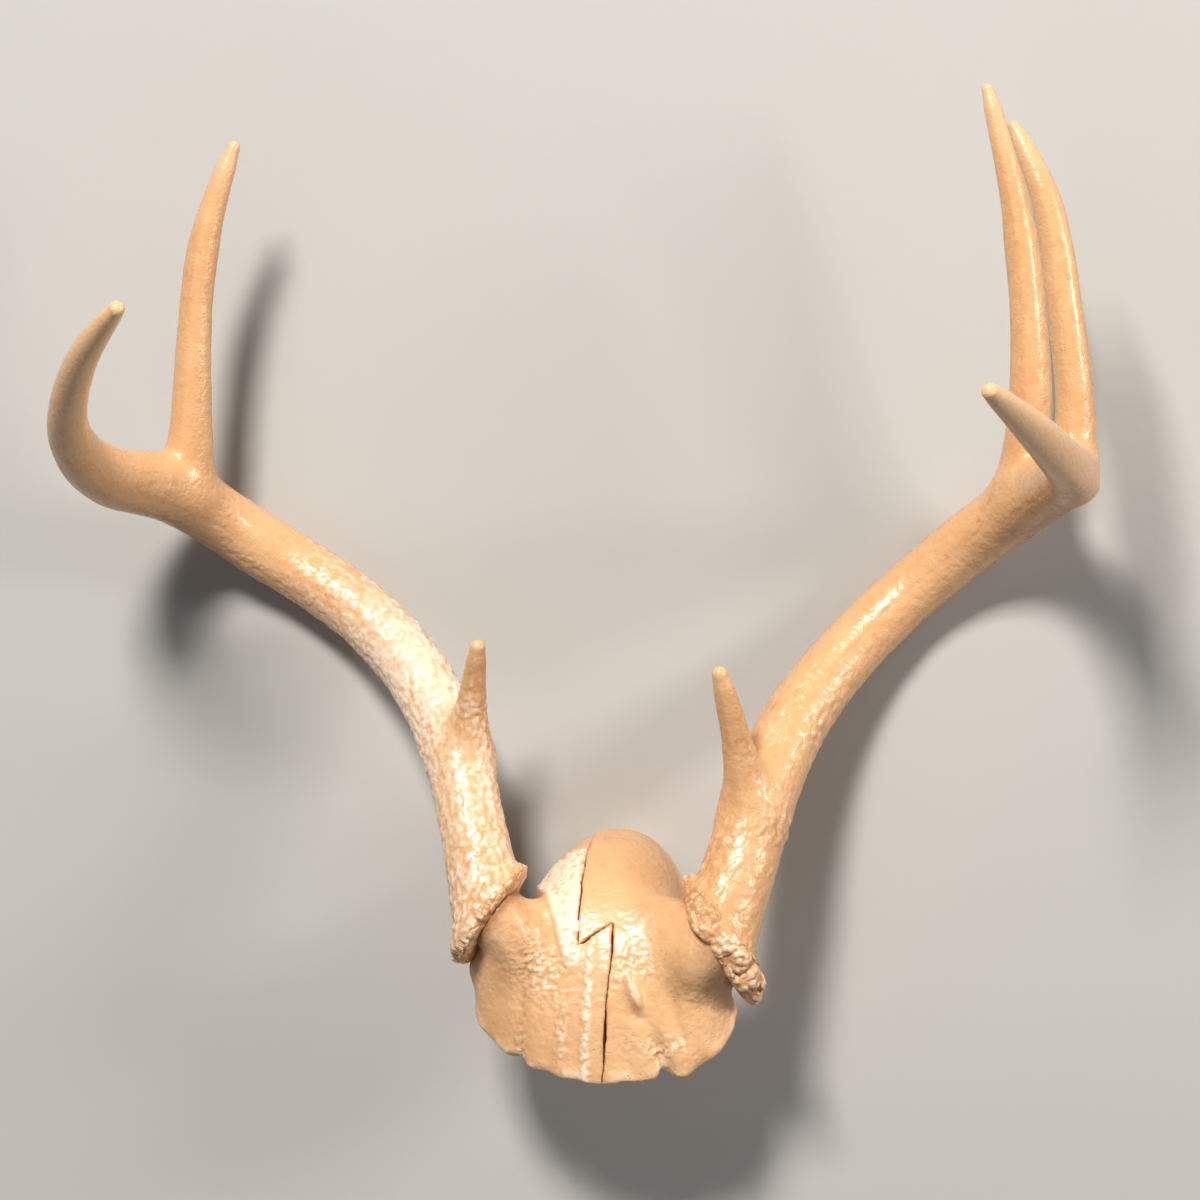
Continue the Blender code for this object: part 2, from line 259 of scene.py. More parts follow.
def makeCamera():
    data = bpy.data.cameras.new("Camera")
    data.sensor_width = camera["sensor"]
    data.lens = camera["sensor"] * camera["distance"] / camera["scale"] / camera["pixels"]
    data.clip_end = 20.0
    yaw = radians(camera["yaw"])
    right = np.array([cos(yaw), sin(yaw), 0])
    up = np.array([0, 0, 1])
    ahead = np.array([-sin(yaw), cos(yaw), 0])
    half = camera["pixels"] / 2
    acrossMm = (half - camera["zeroPixel"][0]) * camera["scale"]
    upMm = (camera["zeroPixel"][1] - half) * camera["scale"]
    place = right * acrossMm + up * upMm - ahead * camera["distance"]
    x, y, z = place + (rack["zero"][0], 0, 0)
    eye = newObject("Camera", data)
    eye.location = (x * 0.001, (z + rack["zero"][1]) * 0.001, (rack["zero"][2] - y) * 0.001)
    eye.rotation_euler = (0, yaw, 0)
    bpy.context.scene.camera = eye
    report("camera")


# Floor and lights

studio = {
    "floorSize": 6.0,               # metres
    "floorColour": (0.53, 0.522, 0.505),
    "floorRoughness": 0.9,
    "world": (0.95, 0.97, 1.0),
    "worldStrength": 0.09,
    "gamma": 0.86,
    # each light: place, size in metres, watts and colour, all aimed at the rack
    "lights": {
        "Key": ((-0.35, 1.45, 2.00), 0.50, 72, (1.0, 0.965, 0.91)),
        "Right": ((1.60, 0.35, 0.75), 0.40, 15, (1.0, 0.97, 0.93)),
        "Fill": ((-0.6, -1.3, 1.6), 1.4, 6, (0.93, 0.96, 1.0)),
    },
}


def makeStudio():
    half = studio["floorSize"] / 2
    corners = np.array([(-half, -half, 0), (half, -half, 0), (half, half, 0), (-half, half, 0)])
    mesh = makeMesh("Floor", corners, [[0, 1, 2, 3]])
    floor = newObject("Floor", mesh)
    material = bpy.data.materials.new("Pale floor")
    material.use_nodes = True
    shader = material.node_tree.nodes["Principled BSDF"]
    shader.inputs["Base Color"].default_value = (*studio["floorColour"], 1)
    shader.inputs["Roughness"].default_value = studio["floorRoughness"]
    mesh.materials.append(material)

    world = bpy.data.worlds.new("Studio")
    world.use_nodes = True
    background = world.node_tree.nodes["Background"]
    background.inputs["Color"].default_value = (*studio["world"], 1)
    background.inputs["Strength"].default_value = studio["worldStrength"]
    bpy.context.scene.world = world
    view = bpy.context.scene.view_settings
    view.view_transform = "Standard"
    view.gamma = studio["gamma"]

    for name, (place, size, watts, colour) in studio["lights"].items():
        data = bpy.data.lights.new(name, "AREA")
        data.size = size
        data.energy = watts
        data.color = colour
        lamp = newObject(name, data)
        lamp.location = place
        aim = -lamp.location.normalized()
        lamp.rotation_euler = aim.to_track_quat("-Z", "Y").to_euler()
    report("floor and lights")


# Shader node groups that the antlers, burrs and skull plate share

def newGroup(name, inputs, outputs):
    group = bpy.data.node_groups.new(name, "ShaderNodeTree")
    for label, kind in inputs.items():
        group.interface.new_socket(label, in_out="INPUT", socket_type="NodeSocket" + kind)
    for label, kind in outputs.items():
        group.interface.new_socket(label, in_out="OUTPUT", socket_type="NodeSocket" + kind)
    start = group.nodes.new("NodeGroupInput")
    end = group.nodes.new("NodeGroupOutput")
    return group, start, end


def feed(tree, socket, value):
    # links another socket to this one, or sets its plain value
    if isinstance(value, bpy.types.NodeSocket):
        tree.links.new(value, socket)
    else:
        socket.default_value = value


def addNode(tree, kind, settings=None, **values):
    # a node with its settings, and its sockets filled by a value or linked to another socket
    node = tree.nodes.new("ShaderNode" + kind)
    for key, setting in (settings or {}).items():
        setattr(node, key, setting)
    for key, value in values.items():
        label = key.replace("_", " ")
        socket = node.inputs[int(key[1:])] if key[1:].isdigit() else node.inputs[label]
        feed(tree, socket, value)
    return node


def spread(tree, value, low, high, toLow=0.0, toHigh=1.0):
    # a value between low and high, spread over a new range and held inside it
    node = addNode(tree, "MapRange", {"clamp": True}, Value=value, From_Min=low, From_Max=high,
                   To_Min=toLow, To_Max=toHigh)
    return node.outputs["Result"]


def mixColours(tree, share, first, second):
    # the Mix node's sockets 6 and 7 take its two colours, and its output 2 gives theirs
    node = addNode(tree, "Mix", {"data_type": "RGBA"}, i0=share)
    feed(tree, node.inputs[6], first)
    feed(tree, node.inputs[7], second)
    return node.outputs[2]


def arithmetic(tree, operation, first, second):
    return addNode(tree, "Math", {"operation": operation}, i0=first, i1=second).outputs[0]


def times(tree, first, second):
    return arithmetic(tree, "MULTIPLY", first, second)


def makeGrainGroup():
    # the fine grain of bone: a cloudy tint, and pitted bumps in two sizes, the small ones sharper
    group, start, end = newGroup(
        "Bone grain",
        {"Place": "Vector", "Cloud Scale": "Float", "Pit Scale": "Float", "Pit Depth": "Float"},
        {"Cloud": "Float", "Pits": "Float", "Height": "Float"},
    )
    place = start.outputs["Place"]
    cloud = addNode(group, "TexNoise", Vector=place, Scale=start.outputs["Cloud Scale"],
                    Detail=4.0, Roughness=0.6)
    fine = addNode(group, "TexNoise", Vector=place, Scale=start.outputs["Pit Scale"],
                   Detail=3.0, Roughness=0.55)
    pitSpots = addNode(group, "TexVoronoi", {"feature": "F1"}, Vector=place,
                       Scale=start.outputs["Pit Scale"])
    pits = spread(group, pitSpots.outputs["Distance"], 0.05, 0.28, 1.0, 0.0)
    chosen = spread(group, cloud.outputs["Fac"], 0.50, 0.62)
    pits = times(group, pits, chosen)
    deep = times(group, pits, start.outputs["Pit Depth"])
    height = arithmetic(group, "SUBTRACT", fine.outputs["Fac"], deep)
    group.links.new(cloud.outputs["Fac"], end.inputs["Cloud"])
    group.links.new(pits, end.inputs["Pits"])
    group.links.new(height, end.inputs["Height"])
    return group


def makeReliefGroup():
    # bone: hollows take a dark stain, which also paints shade where the relief is lowered under the burrs
    # and in the knob's pit; crests are rubbed pale, partly wear and partly painted highlights
    group, start, end = newGroup(
        "Relief stain",
        {"Colour": "Color", "Stain": "Color", "Rubbed": "Color", "Relief": "Float",
         "Stain Amount": "Float", "Rub Amount": "Float"},
        {"Colour": "Color", "Hollow": "Float"},
    )
    relief = start.outputs["Relief"]
    hollow = spread(group, relief, 0.45, 0.05)
    crest = spread(group, relief, 0.62, 0.95)
    stainedAndShaded = mixColours(group, times(group, hollow, start.outputs["Stain Amount"]),
                         start.outputs["Colour"], start.outputs["Stain"])
    rubbed = mixColours(group, times(group, crest, start.outputs["Rub Amount"]),
                        stainedAndShaded, start.outputs["Rubbed"])
    group.links.new(rubbed, end.inputs["Colour"])
    group.links.new(hollow, end.inputs["Hollow"])
    return group


grainGroup = makeGrainGroup()
reliefGroup = makeReliefGroup()


def makeBoneMaterial(name, look):
    # the two groups, with the attributes "relief" and "tip" that each mesh carries
    material = bpy.data.materials.new(name)
    material.use_nodes = True
    tree = material.node_tree
    shader = tree.nodes["Principled BSDF"]
    place = addNode(tree, "TexCoord").outputs["Object"]
    relief = addNode(tree, "Attribute", {"attribute_name": "relief"}).outputs["Fac"]
    tip = addNode(tree, "Attribute", {"attribute_name": "tip"}).outputs["Fac"]
    grain = addNode(tree, "Group", {"node_tree": grainGroup}, Place=place,
                    Cloud_Scale=look["cloudScale"], Pit_Scale=look["pitScale"],
                    Pit_Depth=look["pitDepth"])
    broad = addNode(tree, "TexNoise", Vector=place, Scale=look["broadScale"], Detail=2.0)
    patches = spread(tree, broad.outputs["Fac"], 0.36, 0.64)
    clouds = spread(tree, grain.outputs["Cloud"], 0.35, 0.65)
    colour = mixColours(tree, patches, look["colour"], look["second"])
    colour = mixColours(tree, times(tree, clouds, look["cloudShare"]), colour, look["cloud"])
    stainWearAndPaintedLight = addNode(tree, "Group", {"node_tree": reliefGroup}, Colour=colour, Relief=relief,
                      Stain=look["stain"], Stain_Amount=look["stainAmount"],
                      Rubbed=look["rubbed"], Rub_Amount=look["rubAmount"])
    colour = mixColours(tree, times(tree, grain.outputs["Pits"], look["pitStain"]),
                        stainWearAndPaintedLight.outputs["Colour"], look["stain"])
    colour = mixColours(tree, times(tree, tip, look["tipShare"]), colour, look["tipColour"])
    gloss = spread(tree, grain.outputs["Cloud"], 0.35, 0.65, *look["roughness"])
    dull = times(tree, stainWearAndPaintedLight.outputs["Hollow"], look["hollowDull"])
    bumpNode = addNode(tree, "Bump", Height=grain.outputs["Height"], Strength=look["bump"],
                       Distance=look["bumpDepth"])
    sockets = {
        "Base Color": colour,
        "Roughness": arithmetic(tree, "ADD", gloss, dull),
        "Normal": bumpNode.outputs["Normal"],
        "Specular IOR Level": look["specular"],
        "Coat Weight": look["coat"],
        "Coat Roughness": look["coatRoughness"],
    }
    for label, value in sockets.items():
        feed(tree, shader.inputs[label], value)
    return material


antlerLook = {
    "colour": (0.72, 0.415, 0.205, 1),
    "second": (0.78, 0.465, 0.245, 1),
    "cloud": (0.84, 0.545, 0.315, 1),
    # the dark of stained hollows, which also paints the shade under the burrs and in the knob's pit
    "stain": (0.26, 0.098, 0.036, 1),
    # the pale of rubbed crests, which also paints highlights on pearls, grit, ridges and the lower beam's
    # sheen
    "rubbed": (0.96, 0.85, 0.72, 1),
    "tipColour": (0.86, 0.60, 0.37, 1),
    "cloudScale": 90.0,
    "broadScale": 16.0,
    "pitScale": 620.0,
    "pitDepth": 0.6,
    "cloudShare": 0.45,
    "stainAmount": 0.6,
    "rubAmount": 0.7,
    "pitStain": 0.25,
    "tipShare": 0.6,
    "roughness": (0.24, 0.38),
    "hollowDull": 0.2,              # how much rougher the hollows are
    "bump": 0.5,
    "bumpDepth": 0.0006,
    "specular": 0.5,
    "coat": 0.2,
    "coatRoughness": 0.16,
}
burrLook = dict(
    antlerLook, colour=(0.66, 0.365, 0.175, 1), pitDepth=0.8, stainAmount=0.8, rubAmount=0.6,
)
skullLook = dict(
    antlerLook, colour=(0.75, 0.45, 0.235, 1), second=(0.80, 0.49, 0.265, 1),
    cloud=(0.85, 0.57, 0.34, 1), cloudScale=70.0, pitScale=480.0, pitDepth=0.9,
    stainAmount=0.7, rubAmount=0.75, roughness=(0.32, 0.48),
)


# Antlers: a beam and its tines are balls of changing size rolled along smooth paths

# Each station is x, y, z of the antler's middle and its radius, mm.
rightAntler = {
    "side": "right",
    "beam": (
        (-47, -1, -13, 15.5), (-57, 12.5, 32, 14.0), (-69, 28, 70, 13.7), (-117.5, 62.5, 131, 13.8),
        (-173.5, 59.5, 168, 13.9), (-194, 36, 183.5, 14.0), (-212, -4, 189, 13.0),
        (-217.5, -44, 202, 9.7), (-208.5, -80, 219, 7.5), (-192, -112, 236, 6.0),
        (-171, -140, 251, 3.4),
    ),
    "tines": (
        ((-63, 24, 71, 10.0), (-59.7, 16, 92, 6.2), (-54, 0, 119, 3.6)),
        ((-189, 38, 185, 11.0), (-186, 30, 210, 9.2), (-182, 22, 262, 7.2),
         (-176, 20, 298, 6.2), (-163, 17, 334, 3.5)),
    ),
    "burrMiddle": (-49.9, 5, 3.8),
    "burrAxis": (-0.82, 0.06, 0.57),
    "burrRadii": (25.0, 19.5),
    "burrThickness": 8.5,
    "burrKnobs": (0.9, 5.0),        # mm, height and size
    "burrSwell": 1.0,               # mm, slow swells of the rim
    "collarInset": 2.4,             # mm that the beam's flare stays inside the burr's rim
    # swellings of the rim: place and width in degrees round it, then mm outwards, up and down
    "burrLobes": ((0, 30, 1.0, 1.0, 2.5), (180, 26, 0.8, 0.5, 0.5)),
    "pearlTop": 300.0,              # mm along the beam where the pearls have died away
    "pearlSize": 2.9,
    "pearlBare": 0.55,              # height of the pearls in the smooth patches between them
    "browBeads": 0.9,               # height of the pearls at the foot of the brow tine
    "paintedSheen": 0.32,                  # how much paler the lower beam is painted: a painted sheen in place of its gloss highlight
    "nodes": ("right_beam_lower", "right_beam_tip", "right_brow_tine", "right_second_tine"),
}
leftAntler = {
    "side": "left",
    "beam": (
        (43.5, -0.5, -20, 16.2), (57, 12.5, 27, 15.2), (65, 26, 58, 15.0), (82, 48, 93, 14.0),
        (130, 67.3, 145, 13.2), (175.5, 38, 178.5, 13.6), (190, 2, 185, 12.2), (195, -34, 187, 11.0),
        (192, -74, 191, 9.0), (183, -110, 200, 7.4), (165, -156, 215, 3.2),
    ),
    "tines": (
        ((60, 16, 48, 11.0), (56.4, 6, 71, 7.2), (49, -12, 108.5, 3.7)),
        ((173, 42, 183, 11.0), (176, 34, 208, 9.6), (175.5, 26, 263, 7.6),
         (169.5, 23, 309, 6.0), (158.5, 20, 353, 3.0)),
        ((194, -26, 187, 9.0), (196, -30, 206, 8.4), (191.5, -35, 257, 7.3),
         (184.5, -37, 298, 6.1), (170.5, -36, 330, 2.9)),
    ),
    "burrMiddle": (49.9, 3.5, -6.4),
    "burrAxis": (0.85, 0.16, 0.50),
    "burrRadii": (29.0, 20.5),
    "burrThickness": 13.0,
    "burrKnobs": (3.2, 10.5),
    "burrSwell": 2.2,
    "collarInset": 3.0,
    "burrLobes": ((50, 28, 1.5, 0.0, 5.5), (95, 24, 0.8, 0.8, 2.0), (140, 30, 0.8, 3.2, 2.5),
                  (0, 22, 1.2, 0.8, 1.0)),
    "pearlTop": 200.0,
    "pearlSize": 3.6,
    "pearlBare": 0.38,
    "browBeads": 0.35,
    "paintedSheen": 0.04,
    "nodes": ("left_beam_lower", "left_beam_middle", "left_beam_tip",
              "left_brow_tine", "left_second_tine", "left_third_tine"),
}
antlerDetail = {
    "cell": 0.88,                   # mm between the points of the finished skin
    "pathStep": 1.0,
    # the last radii over which a tip narrows, and the part of its radius that is left
    "tips": ((2.0, 0.92), (2.0, 0.85), (3.0, 0.80), (3.0, 0.80)),
    "forkBlend": 3.4,               # mm, how softly a tine leaves its beam
    "collarBlend": 3.0,             # and how softly it spreads onto the burr
    "collarRound": 2.0,             # mm, the round edge of the disc that it spreads onto
    "collarHalf": 0.8,              # and half the thickness of its flat part
    "footDepth": 1.0,               # mm that the beam's foot reaches past the burr's middle
    "lumps": 0.6,                   # mm, slow swellings of the whole antler
    "lumpSize": 26.0,
    "pearls": 1.0,                  # mm, height of the beads above the burr
    "pearlLength": 1.4,             # how much longer than wide
    "grooves": 0.16,                # mm, the channels that the velvet's veins left
    "grooveTurns": 1.7,             # about how many lie side by side round the beam
    "grooveLength": 60.0,
    "grooveReach": (30, 90, 330, 430),   # mm along the beam where they begin and end
    "lastPearls": (0.25, 280, 380),      # the faint last pearls: height, and where they fade, mm
    "paintedSheenPlace": (130, 55),             # mm along the beam where the painted sheen is palest, and how far
    "fine": 0.10,
}


def smoothPath(stations, step, taper=None):
    # a natural cubic spline through the stations, up to the last ball's middle; a tapered path
    # narrows by the smooth step over its last few radii, to a part of its last radius
    rows = np.array(stations, float)
    link = np.linalg.norm(np.diff(rows[:, :3], axis=0), axis=1)
    along = np.concatenate([[0], np.cumsum(link)])
    inner = np.arange(1, len(rows) - 1)
    system = np.eye(len(rows))
    system[inner, inner - 1] = link[:-1]
    system[inner, inner] = 2 * (link[:-1] + link[1:])
    system[inner, inner + 1] = link[1:]
    bends = np.zeros_like(rows)
    bends[1:-1] = 6 * np.diff(np.diff(rows, axis=0) / link[:, None], axis=0)
    bends = np.linalg.solve(system, bends)
    last = rows[-1, 3]
    length, small = taper or (1.0, 1.0)
    end = along[-1] - last * small
    spots = np.linspace(0, end, int(end / step) + 1)
    k = np.clip(np.searchsorted(along, spots, side="right") - 1, 0, len(rows) - 2)
    width = link[k][:, None]
    before = (along[k + 1] - spots)[:, None] / width
    after = 1 - before
    curve = before * rows[k] + after * rows[k + 1]
    bending = (before ** 3 - before) * bends[k] + (after ** 3 - after) * bends[k + 1]
    curve += bending * width ** 2 / 6
    middles = curve[:, :3]
    curve[:, 3] *= small + (1 - small) * fade(end - spots, 0, length * last)
    ways = unit(np.gradient(middles, axis=0))
    sideways = [np.cross(ways[0], (0, 0, 1))]
    for way in ways:
        sideways.append(sideways[-1] - way * (sideways[-1] @ way))   # carried along without a twist
    sideways = unit(np.array(sideways[1:]))
    return {"spots": spots, "middles": middles, "radii": curve[:, 3], "ways": ways,
            "sideways": sideways, "upways": np.cross(ways, sideways), "length": end}


def sweptBalls(path, every, sides):
    # rings round the path at every few steps, and the half ball at each end
    pick = np.unique(np.append(np.arange(0, len(path["spots"]), every), len(path["spots"]) - 1))
    angle = np.linspace(0, 2 * np.pi, sides, endpoint=False)
    radius = path["radii"][pick]
    middle = path["middles"][pick]
    way = path["ways"][pick]
    cap = np.radians((15, 40, 65))
    starts = middle[0] - way[0] * radius[0] * np.sin(cap[::-1])[:, None]
    ends = middle[-1] + way[-1] * radius[-1] * np.sin(cap)[:, None]
    middles = np.concatenate([starts, middle, ends])
    radii = np.concatenate([radius[0] * np.cos(cap[::-1]), radius, radius[-1] * np.cos(cap)])
    pick = np.pad(pick, len(cap), mode="edge")
    turned = (path["sideways"][pick][:, None] * np.cos(angle)[:, None]
              + path["upways"][pick][:, None] * np.sin(angle)[:, None])
    return closedTube(middles[:, None] + radii[:, None, None] * turned)


def nearestSteps(path, points):
    # which step of the path lies nearest to each point
    picks = []
    for part in np.array_split(points, max(1, len(points) // 8000)):
        squares = (part ** 2).sum(axis=1)[:, None] + (path["middles"] ** 2).sum(axis=1)
        picks.append((squares - 2 * part @ path["middles"].T).argmin(axis=1))
    return np.concatenate(picks)


def besidePath(path, points, picks):
    # the place along the path beside each point, its middle there, and its radius
    slope = np.gradient(path["radii"], path["spots"])
    step = path["spots"][1]
    slide = ((points - path["middles"][picks]) * path["ways"][picks]).sum(axis=1)
    least = np.where(picks == 0, 0, -step)
    most = np.where(picks == len(path["spots"]) - 1, 0, step)
    slide = np.clip(slide, least, most)
    middle = path["middles"][picks] + path["ways"][picks] * slide[:, None]
    return path["spots"][picks] + slide, middle, path["radii"][picks] + slope[picks] * slide


def burrFrame(antler):
    # across the deer, front to back, and along the burr's axis
    axis = unit(np.array(antler["burrAxis"], float))
    longWay = unit(np.cross(axis, (0, 1, 0)))
    return np.stack([longWay, np.cross(axis, longWay), axis])


def collarDistance(antler, points):
    # a rounded disc inside the burr, onto which the beam flares
    local = (points - antler["burrMiddle"]) @ burrFrame(antler).T
    radii = np.array(antler["burrRadii"]) - antler["collarInset"]
    share = np.maximum(np.linalg.norm(local[:, :2] / radii, axis=1), 1e-6)
    rim = np.linalg.norm(local[:, :2], axis=1) * (1 - 1 / share)
    outX = rim + antlerDetail["collarRound"]
    outZ = np.abs(local[:, 2]) - antlerDetail["collarHalf"]
    outside = np.hypot(np.maximum(outX, 0), np.maximum(outZ, 0))
    return outside + np.minimum(np.maximum(outX, outZ), 0) - antlerDetail["collarRound"]


def underMiddle(antler, points):
    # mm under the burr's middle, along the burr's axis
    return (np.array(antler["burrMiddle"]) - points) @ burrFrame(antler)[2]


def belowFoot(antler, points):
    # mm under the level where the beam's foot ends
    return underMiddle(antler, points) - antlerDetail["footDepth"]


def roundedUnion(distances, softness):
    # minus softness times the log of the summed exponentials: a smooth least of the distances
    least = distances.min(axis=0)
    powers = np.exp((least - distances) / softness)
    total = powers.sum(axis=0)
    return least - softness * np.log(total), powers / total


def antlerDistance(antler, paths, picks, points):
    # mm to the rounded union of the beam, its tines and the collar, and each path's share in it
    balls = []
    for path, pick in zip(paths, picks):
        _, middle, radius = besidePath(path, points, pick)
        balls.append(np.linalg.norm(points - middle, axis=1) - radius)
    whole, weights = roundedUnion(np.array(balls), antlerDetail["forkBlend"])
    collar = collarDistance(antler, points)
    flared, _ = roundedUnion(np.array([whole, collar]), antlerDetail["collarBlend"])
    return np.maximum(flared, belowFoot(antler, points)), weights


def slopeOf(distance, points):
    # the direction in which the distance grows, from a small step along each axis
    step = 0.05
    here = distance(points)
    slopes = [distance(points + step * np.eye(3)[axis]) - here for axis in range(3)]
    return here, np.stack(slopes, axis=1) / step


def settle(antler, paths, points, rounds):
    # moves each point along the slope until the rounded union's distance is nought
    for _ in range(rounds):
        picks = [nearestSteps(path, points) for path in paths]
        here, slope = slopeOf(lambda spot: antlerDistance(antler, paths, picks, spot)[0], points)
        steep = np.maximum((slope ** 2).sum(axis=1), 0.25)
        points = points - np.clip(here / steep, -2, 2)[:, None] * slope
    return points, picks, unit(slope)


def antlerRelief(antler, paths, picks, points):
    # height in mm over the smooth antler, a 0 to 1 relief for the stain, the wear and the painted sheen, and
    # nearness to a tip
    detail = antlerDetail
    _, weights = antlerDistance(antler, paths, picks, points)
    height = np.zeros(len(points))
    relief = np.zeros(len(points))
    tip = np.zeros(len(points))
    for number, (path, pick, weight) in enumerate(zip(paths, picks, weights)):
        spots, middle, radius = besidePath(path, points, pick)
        offset = points - middle
        across = (offset * path["sideways"][pick]).sum(axis=1)
        upward = (offset * path["upways"][pick]).sum(axis=1)
        own = np.stack([spots, across, upward], axis=1) + number * 100
        turn = np.stack([spots / detail["grooveLength"],
                         across / radius * detail["grooveTurns"],
                         upward / radius * detail["grooveTurns"]], axis=1) + number * 13
        toTip = (path["length"] + path["radii"][-1] - spots) / path["length"]
        if number == 0:
            beads = 1 - fade(spots, 0.35 * antler["pearlTop"], antler["pearlTop"])
            faint, faintStart, faintEnd = detail["lastPearls"]
            beads = np.maximum(beads, faint * (1 - fade(spots, faintStart, faintEnd)))
            begin, full, wane, end = detail["grooveReach"]
            channels = fade(spots, begin, full) * (1 - fade(spots, wane, end))
        else:
            brow = antler["browBeads"] * fade(toTip, 0.1, 0.7)
            beads = brow if number == 1 else 0.25 * fade(toTip, 0.25, 0.85)
            channels = 0.8 * fade(toTip, 0.15, 0.5)
        stretched = own * (1 / detail["pearlLength"], 1, 1)
        bare = antler["pearlBare"]
        patchy = bare + (1 - bare) * fade(softNoise(own, 18), -0.3, 0.35)
        pearl = cobbles(stretched + 1.2 * softNoise(own, 5)[:, None], antler["pearlSize"])
        small = cobbles(stretched, antler["pearlSize"] * 0.62)
        bead = (0.65 * pearl + 0.35 * small) * beads * patchy
        ridge = 1 - np.abs(softNoise(turn, 1.0)) * 2.2
        channel = np.clip(ridge, 0, 1) ** 2 * channels
        lump = roughNoise(own, detail["lumpSize"]) * (0.5 + 0.5 * fade(toTip, 0.1, 0.4))
        lower = 1 + 0.9 * (1 - fade(spots, 30, 90)) * (number == 0)
        grain = softNoise(stretched, 1.5) * fade(toTip, 0.0, 0.2)
        tall = (detail["pearls"] * bead - detail["grooves"] * channel + detail["lumps"] * lump * lower
                + detail["fine"] * grain)
        height += weight * tall
        # painted sheen: the lower beam is painted paler, most in its middle, in place of a gloss highlight;
        # pearl tops are painted pale, partly wear and partly painted highlights
        rubbed = antler["paintedSheen"] * beads * (0.7 + 0.8 * bump(spots, *detail["paintedSheenPlace"]))
        crest = 0.5 + 0.5 * (bead - 0.35 * beads * patchy)
        relief += weight * (crest + rubbed - 0.14 * channel + 0.10 * grain)
        tip += weight * (1 - fade(toTip, 0.0, 0.22))
    return height, np.clip(relief, 0, 1), tip


def makeAntler(antler, material):
    detail = antlerDetail
    paths = [smoothPath(stations, detail["pathStep"], taper)
             for stations, taper in zip((antler["beam"], *antler["tines"]), detail["tips"])]
    tubes = [sweptBalls(path, 3, 28) for path in paths]
    # the beam's foot is pressed flat inside the burr
    feet, faces = tubes[0]
    pressed = np.maximum(belowFoot(antler, feet), 0)[:, None] * burrFrame(antler)[2]
    tubes[0] = (feet + pressed, faces)
    tubes.append(burrDisc(antler, 48, 12, inside=antler["collarInset"]))
    name = antler["side"] + "_antler"
    mesh = fused(makeMesh(name, *joined(tubes)), detail["cell"])
    points, picks, slope = settle(antler, paths, readPoints(mesh), 3)
    height, relief, tip = antlerRelief(antler, paths, picks, points)
    points = points + slope * height[:, None]
    finishPiece(name, mesh, points, relief, tip, material, antler["nodes"])


# Burrs: a knobbly crown where each antler stands on the skull

burr = {
    "thickness": 9.0,               # mm that the pedicles leave for a burr
    "inset": 0.6,                   # mm that the plain disc keeps inside its radii, for the knobs
    "around": 420,                  # points round the rim, and from one side over it to the other
    "over": 90,
    "beads": 0.9,                   # mm, the small beads over the knobs
    "beadSize": 2.9,
}


def burrDisc(antler, around, over, inside=0.0):
    # a disc whose edge is a squared half round: from pole to pole its radius grows as a power of
    # the sine, and its height falls as a power of the cosine
    radii = np.array(antler["burrRadii"]) - inside
    half = antler["burrThickness"] / 2 - inside * 0.5
    angle = np.linspace(0, 2 * np.pi, around, endpoint=False)
    lean = np.linspace(0, np.pi, over + 2)[1:-1][:, None]
    out = np.sin(lean) ** 0.55
    rise = half * np.sign(np.cos(lean)) * np.abs(np.cos(lean)) ** 0.75
    local = np.stack([radii[0] * out * np.cos(angle), radii[1] * out * np.sin(angle),
                      rise + 0 * angle], axis=-1)
    rings = local @ burrFrame(antler) + antler["burrMiddle"]
    points, faces = closedTube(rings)
    return points, [face[::-1] for face in faces]


def makeBurr(antler, material):
    points, faces = burrDisc(antler, burr["around"], burr["over"], inside=burr["inset"])
    name = antler["side"] + "_burr"
    mesh = makeMesh(name, points, faces)
    local = (points - antler["burrMiddle"]) @ burrFrame(antler).T
    angle = np.arctan2(local[:, 1], local[:, 0])
    share = np.linalg.norm(local[:, :2] / np.array(antler["burrRadii"]), axis=1)
    rim = fade(share, 0.45, 0.95)
    outward = unit(local * (1, 1, 0.6))
    lobe = np.zeros(len(points))
    for place, width, out, up, down in antler["burrLobes"]:
        # each lobe is a bell over the angle between a point and its place on the rim
        apart = np.degrees(np.arccos(np.clip(np.cos(angle - radians(place)), -1, 1)))
        bell = bump(apart, 0, width) * rim
        lobe += out * bell
        face = np.minimum(np.abs(local[:, 2]) / 4, 1)
        local[:, 2] += np.where(local[:, 2] > 0, up, -down) * bell * face
    knobHeight, knobSize = antler["burrKnobs"]
    ringed = np.stack([np.cos(angle), np.sin(angle), 0 * angle], axis=1)
    swell = softNoise(ringed * 30 + np.array(antler["burrMiddle"]), 14)
    knob = cobbles(local * (1, 1, 0.7) + 1.5 * softNoise(local, 6)[:, None], knobSize, 1.2)
    bead = cobbles(local + 40, burr["beadSize"])
    rough = knobHeight * (knob - 0.45) + burr["beads"] * (bead - 0.3)
    tall = rim * (antler["burrSwell"] * swell + rough) + lobe
    local = local + outward * tall[:, None]
    # knob and bead tops are painted pale, partly wear and partly painted highlights, and the gaps between
    # them darker
    relief = np.clip(0.30 + 0.35 * knob + 0.35 * bead, 0, 1)
    points = local @ burrFrame(antler) + antler["burrMiddle"]
    finishPiece(name, mesh, points, relief, 0 * relief, material, (name,))


# Skull plate: its own axes are across, backwards along the saw cut, and up from the cut

